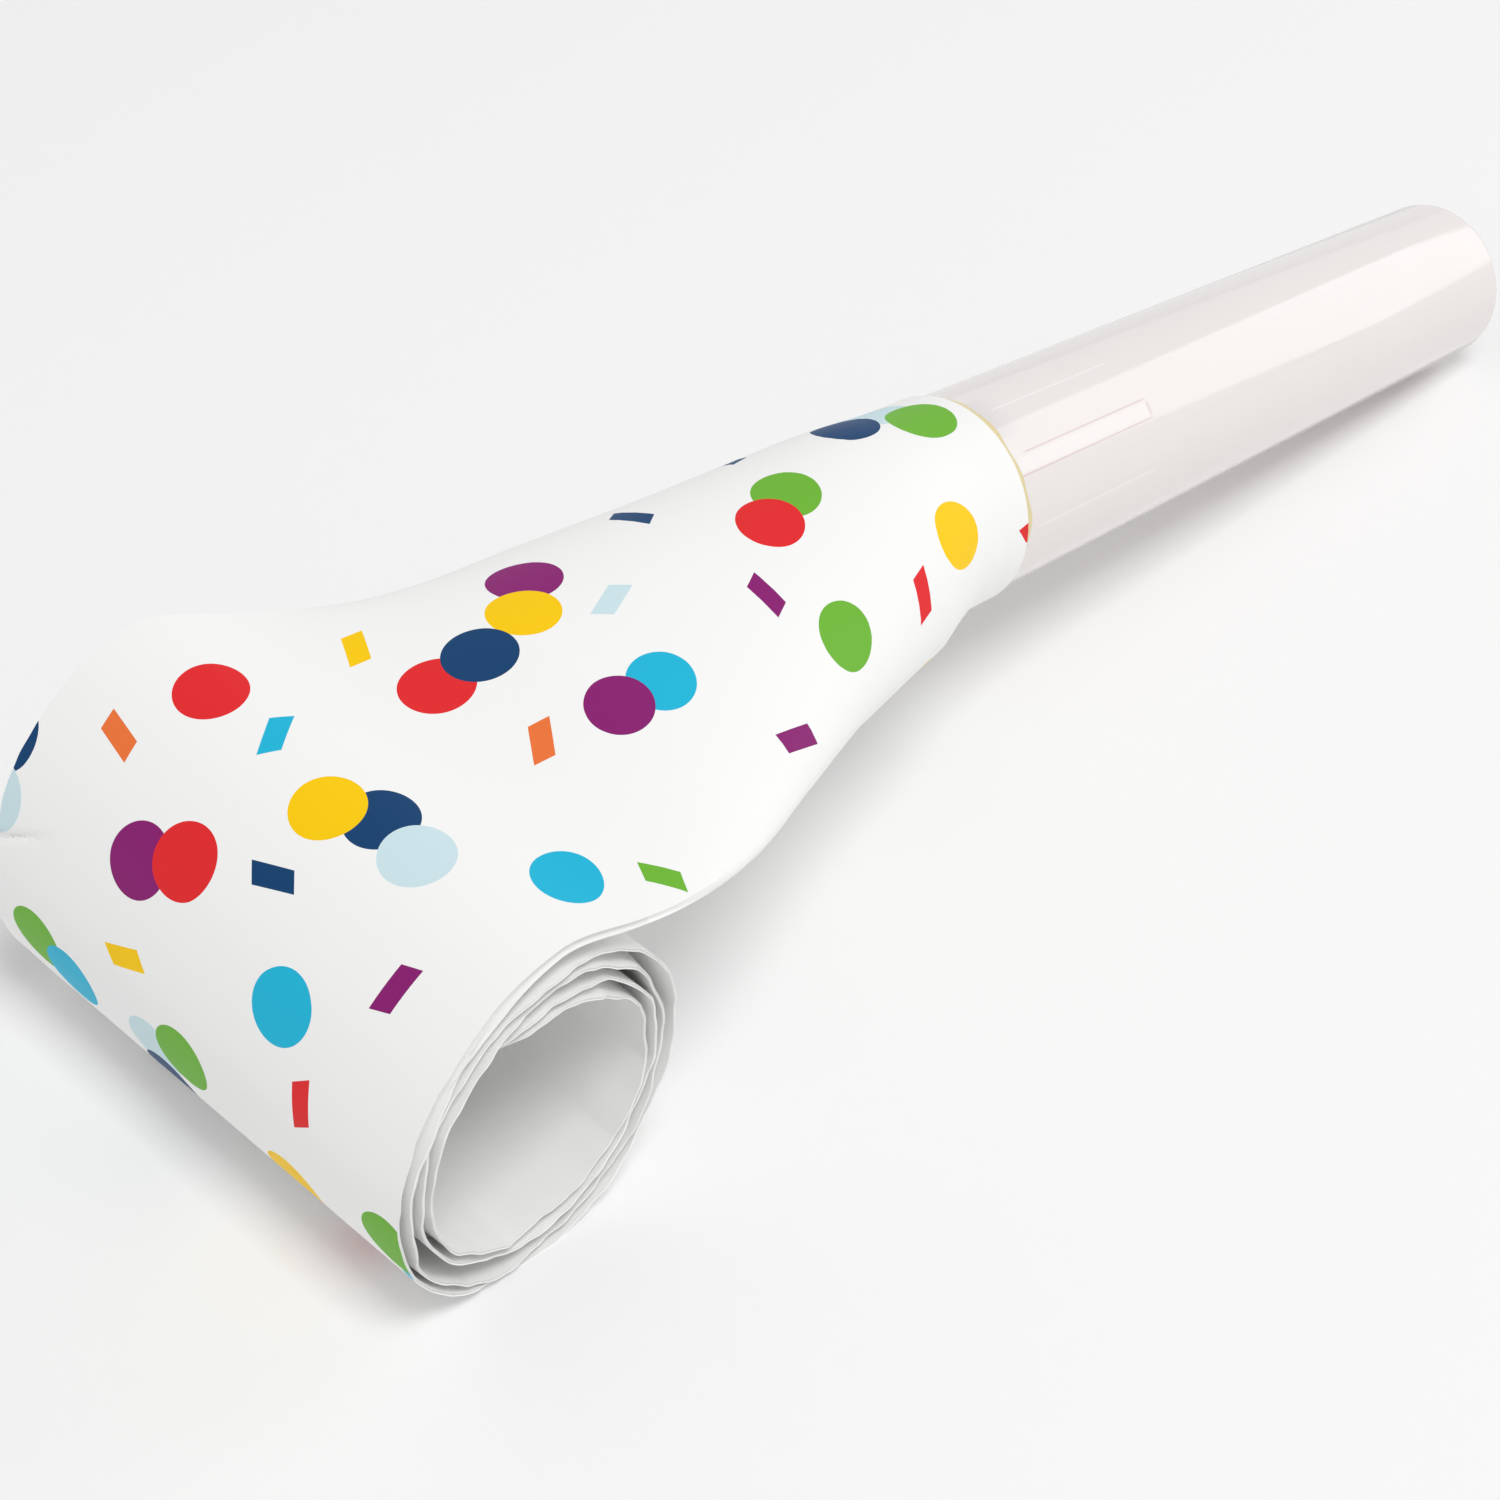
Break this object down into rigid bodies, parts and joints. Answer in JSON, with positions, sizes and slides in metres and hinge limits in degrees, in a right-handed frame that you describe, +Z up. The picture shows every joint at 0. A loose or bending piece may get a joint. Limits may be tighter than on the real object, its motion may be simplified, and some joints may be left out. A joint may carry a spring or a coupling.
{
  "type": "party horn blower",
  "caption": "Party blower with a conical reed mouthpiece and a paper tube that lies rolled up in an oval coil and unrolls to a straight strip when blown.",
  "frame": {"origin": "middle of the underside of the box round the horn as it lies on a table", "axes": "+X towards the lip, in plan along the mouthpiece; +Y across the paper strip; +Z up"},
  "size_m": [0.1162, 0.0348, 0.0238],
  "materials": {
    "mouthpiece_plastic": "moulded translucent polypropylene, warm white, glossy",
    "reed_plastic": "moulded polystyrene, milky",
    "tongue_plastic": "thin cut polyester sheet",
    "glue": "dried hot glue, pale amber",
    "printed_paper": "coated white paper with printed confetti, plain inside",
    "spring_steel": "drawn spring wire"
  },
  "bodies": {
    "horn": {"mouthpiece": "mouthpiece_plastic", "reed_holder": "reed_plastic", "reed_clamp": "reed_plastic", "glue_band": "glue", "paper_neck": "printed_paper", "coil_wire": "spring_steel"},
    "tongue": {"reed_tongue": "tongue_plastic"},
    "strip_01": {"panel_01": "printed_paper"},
    "strip_02": {"panel_02": "printed_paper"},
    "strip_03": {"panel_03": "printed_paper"},
    "strip_04": {"panel_04": "printed_paper"},
    "strip_05": {"panel_05": "printed_paper"},
    "strip_06": {"panel_06": "printed_paper"},
    "strip_07": {"panel_07": "printed_paper"},
    "strip_08": {"panel_08": "printed_paper"},
    "strip_09": {"panel_09": "printed_paper"},
    "strip_10": {"panel_10": "printed_paper"},
    "strip_11": {"panel_11": "printed_paper"},
    "strip_12": {"panel_12": "printed_paper"},
    "strip_13": {"panel_13": "printed_paper"},
    "strip_14": {"panel_14": "printed_paper"},
    "strip_15": {"panel_15": "printed_paper"},
    "strip_16": {"panel_16": "printed_paper"},
    "strip_17": {"panel_17": "printed_paper"},
    "strip_18": {"panel_18": "printed_paper"},
    "strip_19": {"panel_19": "printed_paper"},
    "strip_20": {"panel_20": "printed_paper"},
    "strip_21": {"panel_21": "printed_paper"},
    "strip_22": {"panel_22": "printed_paper"},
    "strip_23": {"panel_23": "printed_paper"},
    "strip_24": {"panel_24": "printed_paper"},
    "strip_25": {"panel_25": "printed_paper"},
    "strip_26": {"panel_26": "printed_paper", "end_fold": "printed_paper"}
  },
  "joints": [
    {"name": "crease_01", "type": "hinge", "parent": "horn", "child": "strip_01", "pos_m": [-0.04682, 0.0005, 0.02314], "axis": [0, 1, 0], "range_deg": [0, 23.77], "stiffness_Nm_per_rad": 0.0002, "springref_deg": -85.94, "deforming": ["coil_wire"]},
    {"name": "crease_02", "type": "hinge", "parent": "strip_01", "child": "strip_02", "pos_m": [-0.0513, 0.0005, 0.02204], "axis": [0, 1, 0], "range_deg": [0, 27.33], "stiffness_Nm_per_rad": 0.0002, "springref_deg": -85.94},
    {"name": "crease_03", "type": "hinge", "parent": "strip_02", "child": "strip_03", "pos_m": [-0.05545, 0.0005, 0.01842], "axis": [0, 1, 0], "range_deg": [0, 27.08], "stiffness_Nm_per_rad": 0.0002, "springref_deg": -85.94},
    {"name": "crease_04", "type": "hinge", "parent": "strip_03", "child": "strip_04", "pos_m": [-0.05781, 0.0005, 0.01253], "axis": [0, 1, 0], "range_deg": [0, 27.27], "stiffness_Nm_per_rad": 0.0002, "springref_deg": -85.94},
    {"name": "crease_05", "type": "hinge", "parent": "strip_04", "child": "strip_05", "pos_m": [-0.05724, 0.0005, 0.00649], "axis": [0, 1, 0], "range_deg": [0, 27.97], "stiffness_Nm_per_rad": 0.0002, "springref_deg": -85.94},
    {"name": "crease_06", "type": "hinge", "parent": "strip_05", "child": "strip_06", "pos_m": [-0.05448, 0.0005, 0.00231], "axis": [0, 1, 0], "range_deg": [0, 28.43], "stiffness_Nm_per_rad": 0.0002, "springref_deg": -85.94},
    {"name": "crease_07", "type": "hinge", "parent": "strip_06", "child": "strip_07", "pos_m": [-0.05073, 0.0005, 0.00031], "axis": [0, 1, 0], "range_deg": [0, 28.15], "stiffness_Nm_per_rad": 0.0002, "springref_deg": -85.94},
    {"name": "crease_08", "type": "hinge", "parent": "strip_07", "child": "strip_08", "pos_m": [-0.04658, 0.0005, 0.00031], "axis": [0, 1, 0], "range_deg": [0, 27.54], "stiffness_Nm_per_rad": 0.0002, "springref_deg": -85.94},
    {"name": "crease_09", "type": "hinge", "parent": "strip_08", "child": "strip_09", "pos_m": [-0.04242, 0.0005, 0.00247], "axis": [0, 1, 0], "range_deg": [0, 27.16], "stiffness_Nm_per_rad": 0.0002, "springref_deg": -85.94},
    {"name": "crease_10", "type": "hinge", "parent": "strip_09", "child": "strip_10", "pos_m": [-0.03925, 0.0005, 0.00695], "axis": [0, 1, 0], "range_deg": [0, 27.16], "stiffness_Nm_per_rad": 0.0002, "springref_deg": -85.94},
    {"name": "crease_11", "type": "hinge", "parent": "strip_10", "child": "strip_11", "pos_m": [-0.03844, 0.0005, 0.01263], "axis": [0, 1, 0], "range_deg": [0, 27.65], "stiffness_Nm_per_rad": 0.0002, "springref_deg": -85.94},
    {"name": "crease_12", "type": "hinge", "parent": "strip_11", "child": "strip_12", "pos_m": [-0.04014, 0.0005, 0.01742], "axis": [0, 1, 0], "range_deg": [0, 28.28], "stiffness_Nm_per_rad": 0.0002, "springref_deg": -85.94},
    {"name": "crease_13", "type": "hinge", "parent": "strip_12", "child": "strip_13", "pos_m": [-0.04329, 0.0005, 0.02028], "axis": [0, 1, 0], "range_deg": [0, 28.33], "stiffness_Nm_per_rad": 0.0002, "springref_deg": -85.94},
    {"name": "crease_14", "type": "hinge", "parent": "strip_13", "child": "strip_14", "pos_m": [-0.04708, 0.0005, 0.02122], "axis": [0, 1, 0], "range_deg": [0, 30.39], "stiffness_Nm_per_rad": 0.0002, "springref_deg": -85.94},
    {"name": "crease_15", "type": "hinge", "parent": "strip_14", "child": "strip_15", "pos_m": [-0.05176, 0.0005, 0.01983], "axis": [0, 1, 0], "range_deg": [0, 32.2], "stiffness_Nm_per_rad": 0.0002, "springref_deg": -85.94},
    {"name": "crease_16", "type": "hinge", "parent": "strip_15", "child": "strip_16", "pos_m": [-0.05551, 0.0005, 0.01556], "axis": [0, 1, 0], "range_deg": [0, 32.01], "stiffness_Nm_per_rad": 0.0002, "springref_deg": -85.94},
    {"name": "crease_17", "type": "hinge", "parent": "strip_16", "child": "strip_17", "pos_m": [-0.05648, 0.0005, 0.00962], "axis": [0, 1, 0], "range_deg": [0, 32.69], "stiffness_Nm_per_rad": 0.0002, "springref_deg": -85.94},
    {"name": "crease_18", "type": "hinge", "parent": "strip_17", "child": "strip_18", "pos_m": [-0.05438, 0.0005, 0.00475], "axis": [0, 1, 0], "range_deg": [0, 33.52], "stiffness_Nm_per_rad": 0.0002, "springref_deg": -85.94},
    {"name": "crease_19", "type": "hinge", "parent": "strip_18", "child": "strip_19", "pos_m": [-0.05059, 0.0005, 0.00228], "axis": [0, 1, 0], "range_deg": [0, 33.31], "stiffness_Nm_per_rad": 0.0002, "springref_deg": -85.94},
    {"name": "crease_20", "type": "hinge", "parent": "strip_19", "child": "strip_20", "pos_m": [-0.04621, 0.0005, 0.0023], "axis": [0, 1, 0], "range_deg": [0, 32.48], "stiffness_Nm_per_rad": 0.0002, "springref_deg": -85.94},
    {"name": "crease_21", "type": "hinge", "parent": "strip_20", "child": "strip_21", "pos_m": [-0.04214, 0.0005, 0.00492], "axis": [0, 1, 0], "range_deg": [0, 32.06], "stiffness_Nm_per_rad": 0.0002, "springref_deg": -85.94},
    {"name": "crease_22", "type": "hinge", "parent": "strip_21", "child": "strip_22", "pos_m": [-0.03988, 0.0005, 0.00971], "axis": [0, 1, 0], "range_deg": [0, 32.39], "stiffness_Nm_per_rad": 0.0002, "springref_deg": -85.94},
    {"name": "crease_23", "type": "hinge", "parent": "strip_22", "child": "strip_23", "pos_m": [-0.04051, 0.0005, 0.01476], "axis": [0, 1, 0], "range_deg": [0, 33.22], "stiffness_Nm_per_rad": 0.0002, "springref_deg": -85.94},
    {"name": "crease_24", "type": "hinge", "parent": "strip_23", "child": "strip_24", "pos_m": [-0.04339, 0.0005, 0.01815], "axis": [0, 1, 0], "range_deg": [0, 33.45], "stiffness_Nm_per_rad": 0.0002, "springref_deg": -85.94},
    {"name": "crease_25", "type": "hinge", "parent": "strip_24", "child": "strip_25", "pos_m": [-0.04734, 0.0005, 0.0193], "axis": [0, 1, 0], "range_deg": [0, 32.79], "stiffness_Nm_per_rad": 0.0002, "springref_deg": -85.94},
    {"name": "crease_26", "type": "hinge", "parent": "strip_25", "child": "strip_26", "pos_m": [-0.0514, 0.0005, 0.01808], "axis": [0, 1, 0], "range_deg": [0, 32.18], "stiffness_Nm_per_rad": 0.0002, "springref_deg": -85.94},
    {"name": "reed_flex", "type": "hinge", "parent": "horn", "child": "tongue", "pos_m": [0.00352, 0.00155, 0.01377], "axis": [0.1184, 0.7314, 0.6716], "range_deg": [-2.3, 2], "stiffness_Nm_per_rad": 0.0002}
  ],
  "couplings": [
    {"joint": "crease_02", "follows": "crease_01", "ratio": 1.15},
    {"joint": "crease_03", "follows": "crease_01", "ratio": 1.1392},
    {"joint": "crease_04", "follows": "crease_01", "ratio": 1.1474},
    {"joint": "crease_05", "follows": "crease_01", "ratio": 1.1768},
    {"joint": "crease_06", "follows": "crease_01", "ratio": 1.1963},
    {"joint": "crease_07", "follows": "crease_01", "ratio": 1.1841},
    {"joint": "crease_08", "follows": "crease_01", "ratio": 1.1586},
    {"joint": "crease_09", "follows": "crease_01", "ratio": 1.1427},
    {"joint": "crease_10", "follows": "crease_01", "ratio": 1.1425},
    {"joint": "crease_11", "follows": "crease_01", "ratio": 1.1634},
    {"joint": "crease_12", "follows": "crease_01", "ratio": 1.19},
    {"joint": "crease_13", "follows": "crease_01", "ratio": 1.1919},
    {"joint": "crease_14", "follows": "crease_01", "ratio": 1.2784},
    {"joint": "crease_15", "follows": "crease_01", "ratio": 1.3547},
    {"joint": "crease_16", "follows": "crease_01", "ratio": 1.3465},
    {"joint": "crease_17", "follows": "crease_01", "ratio": 1.3752},
    {"joint": "crease_18", "follows": "crease_01", "ratio": 1.4103},
    {"joint": "crease_19", "follows": "crease_01", "ratio": 1.4014},
    {"joint": "crease_20", "follows": "crease_01", "ratio": 1.3665},
    {"joint": "crease_21", "follows": "crease_01", "ratio": 1.3487},
    {"joint": "crease_22", "follows": "crease_01", "ratio": 1.3628},
    {"joint": "crease_23", "follows": "crease_01", "ratio": 1.3977},
    {"joint": "crease_24", "follows": "crease_01", "ratio": 1.4074},
    {"joint": "crease_25", "follows": "crease_01", "ratio": 1.3794},
    {"joint": "crease_26", "follows": "crease_01", "ratio": 1.354}
  ]
}
